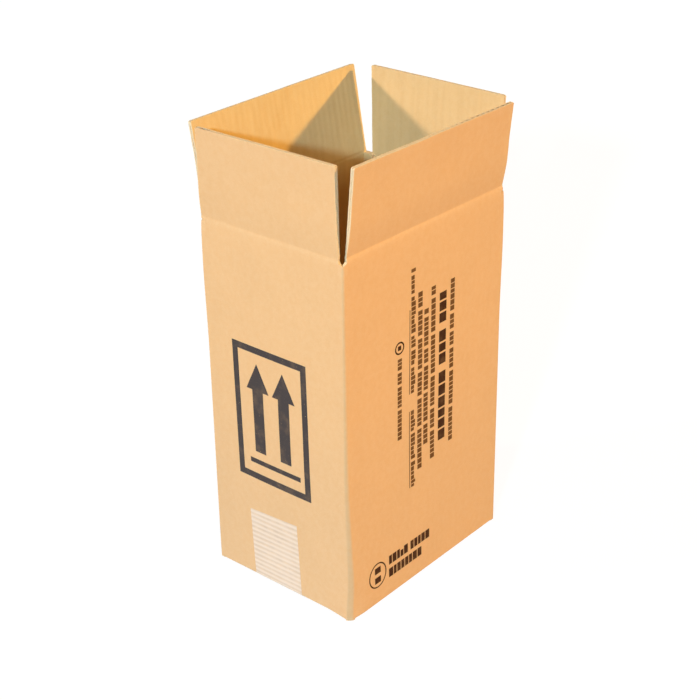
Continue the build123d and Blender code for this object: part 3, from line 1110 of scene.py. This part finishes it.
def make_tape():
    """The strip of tape: up the front wall, under the bottom and up the back wall."""
    low, high = (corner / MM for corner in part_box("bottom_tape"))
    x = spaced(low.x, high.x, TAPE_COLUMN)
    middle = (low.x + high.x) / 2
    top = high.z
    up = spaced(top, board_floor + HEEL_RADIUS + 0.3, TAPE_ROW)
    arc = np.linspace(0, pi / 2, 8)
    bottom = spaced(front.reach - HEEL_RADIUS, -(front.reach - HEEL_RADIUS), 8)
    rows = []
    ribs = []

    def add_wall_rows(wall, heights, sign):
        for z in heights:
            rise = TAPE_RIB_RISE * over(z, TAPE_RISE_SPAN)
            rise += (TAPE_END_RISE - TAPE_RIB_RISE) * smooth((z - top) / TAPE_END_HEIGHT + 1)
            a = (x + TAPE_FOOT_SHIFT - TAPE_DRIFT * z) * sign
            v = z - wall.crease + rise * (x - middle)
            ridge = 0.5 - 0.5 * np.cos(2 * pi * (top - z) / TAPE_RIB_PITCH)
            face = wall.outer(a, v)
            skin = wall.place(a, v, face - TAPE_LIFT - TAPE_RIB_HEIGHT * ridge)
            rows.append((skin, wall.place(a, v, face - TAPE_LIFT / 2)))
            ribs.append(ridge)

    def add_flat_row(*sides):
        """A straight row, from the places of its outer and its inner side across the strip."""
        across = x + TAPE_FOOT_SHIFT
        rows.append([np.insert(np.tile(side, (len(x), 1)), 0, across, axis=1) for side in sides])
        ribs.append(TAPE_FLAT_RIB)

    def add_heel(wall, angles):
        centre_y = wall.reach - HEEL_RADIUS
        centre_z = HEEL_RADIUS + board_floor
        for angle in angles:
            add_flat_row(*(
                (wall.normal[1] * (centre_y + radius * cos(angle)), centre_z - radius * sin(angle))
                for radius in (HEEL_RADIUS + board_floor, HEEL_RADIUS + TAPE_LIFT / 2)
            ))

    add_wall_rows(front, up, 1)
    add_heel(front, arc[1:])
    for y in bottom[1:-1]:
        add_flat_row((-y, 0.0), (-y, board_floor - TAPE_LIFT / 2))
    add_heel(back, arc[::-1][:-1])
    add_wall_rows(back, up[::-1], -1)
    mesh = Mesh()
    wear = np.array(ribs)[:, None] * np.ones(len(x))
    outer, inner = (np.stack([row[side] for row in rows]) for side in (0, 1))
    mesh.add_shell(outer, inner, (0, 0, 0), wear, wear)
    made = mesh.to_object("ribbed_tape", (tape_film,), 60.0)
    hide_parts("bottom_tape")
    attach(made, "box")


# Stage

def make_camera():
    azimuth, elevation, roll = map(radians, (CAMERA_AZIMUTH, CAMERA_ELEVATION, CAMERA_ROLL))
    backwards = Vector((sin(azimuth) * cos(elevation), -cos(azimuth) * cos(elevation), sin(elevation)))
    sideways = Vector((0, 0, 1)).cross(backwards).normalized()
    upwards = backwards.cross(sideways)
    across = sideways * cos(roll) + upwards * sin(roll)
    up = upwards * cos(roll) - sideways * sin(roll)
    aim = Vector((CAMERA_AIM_SIDE * cos(azimuth), CAMERA_AIM_SIDE * sin(azimuth), CAMERA_AIM_HEIGHT))
    place = (aim + backwards * CAMERA_DISTANCE) * MM
    lens = bpy.data.cameras.new("camera")
    lens.sensor_width = SENSOR_WIDTH
    lens.lens = CAMERA_LENS
    camera = add_object("camera", lens)
    turn = Matrix((across, up, backwards)).transposed().to_4x4()
    camera.matrix_world = Matrix.Translation(place) @ turn
    bpy.context.scene.camera = camera


def add_lamp(lamp, towards, strength, colour):
    """Adds a lamp. towards points from the box to it."""
    lamp.energy = strength
    lamp.color = colour
    made = add_object(lamp.name, lamp)
    made.rotation_mode = "QUATERNION"
    made.rotation_quaternion = Vector(towards).to_track_quat("Z", "Y")
    return made


def make_sun(name, towards, strength, colour, spread):
    lamp = bpy.data.lights.new(name, "SUN")
    lamp.angle = radians(spread)
    add_lamp(lamp, towards, strength, colour)


def make_near_lamp(name, place, target, strength, colour, size):
    """A round soft lamp close to the box, with its place in metres."""
    lamp = bpy.data.lights.new(name, "AREA")
    lamp.shape = "DISK"
    lamp.size = size
    made = add_lamp(lamp, Vector(place) - Vector(target), strength, colour)
    made.location = place
    made.visible_camera = False


def make_lights():
    make_sun("lamp_left", (-1.0, -1.5, 0.582), 1.72, (1.0, 0.746, 0.59), 4.0)
    make_sun("lamp_behind", (1.47, 1.0, 0.505), 2.24, (1.0, 0.55, 0.126), 2.5)
    make_sun("lamp_front", (0.47, -1.0, 0.41), 2.26, (0.517, 0.812, 1.0), 3.0)
    make_near_lamp("lamp_above", (0.45, -0.40, 1.0), (0.0, 0.0, 0.3), 1.96, (1.0, 0.673, 0.306), 0.35)
    make_sun("lamp_top", (0.0, 0.0, 1.0), 0.5, (1.0, 0.9, 0.7), 8.0)


AMBIENT = (0.02, 0.02, 0.02, 1.0)
WHITE = (1.0, 1.0, 1.0, 1.0)
FLOOR_HALF = 6.0
FLOOR_COLOUR = (0.55, 0.64, 0.82, 1.0)
FLOOR_FAINT = (0.15, 0.15, 0.15, 1.0)
FLOOR_GLOW = 0.93


def seen_rays(tree):
    """1 for the rays that show the studio: from the camera, in reflections and through clear things."""
    rays = node(tree, "ShaderNodeLightPath").outputs
    seen = calculate(tree, "MAXIMUM", rays["Is Camera Ray"], rays["Is Glossy Ray"])
    return calculate(tree, "MAXIMUM", seen, rays["Is Transmission Ray"])


def make_world():
    """White where it is seen, and a faint even light on the box."""
    world = bpy.data.worlds.new("studio")
    bpy.context.scene.world = world
    world.use_nodes = True
    tree = world.node_tree
    tree.links.new(mix(tree, seen_rays(tree), AMBIENT, WHITE), tree.nodes["Background"].inputs["Color"])


def make_floor():
    """Nearly white where it is seen, with the box's shadow on it. The box gets a pale cool bounce."""
    mesh = bpy.data.meshes.new("floor")
    corners = [(x * FLOOR_HALF, y * FLOOR_HALF, 0) for x, y in ((-1, -1), (1, -1), (1, 1), (-1, 1))]
    mesh.from_pydata(corners, [], [(0, 1, 2, 3)])
    material, tree, surface = new_material("pale_floor")
    tree.nodes.remove(surface)
    matt = node(tree, "ShaderNodeBsdfDiffuse", {"Color": FLOOR_COLOUR}).outputs[0]
    faint = node(tree, "ShaderNodeBsdfDiffuse", {"Color": FLOOR_FAINT}).outputs[0]
    glow = node(tree, "ShaderNodeEmission", {"Color": WHITE, "Strength": FLOOR_GLOW}).outputs[0]
    bright = node(tree, "ShaderNodeAddShader", {0: faint, 1: glow}).outputs[0]
    both = node(tree, "ShaderNodeMixShader", {0: seen_rays(tree), 1: matt, 2: bright}).outputs[0]
    tree.links.new(both, tree.nodes["Material Output"].inputs["Surface"])
    mesh.materials.append(material)
    add_object("floor", mesh)


make_camera()
make_lights()
make_world()
make_floor()
bpy.context.scene.view_settings.view_transform = "Standard"

make_body()
flute_medium = medium_tree()
for wall in walls:
    make_flap(wall, flute_medium)
make_sign()
make_lines()
make_tape()
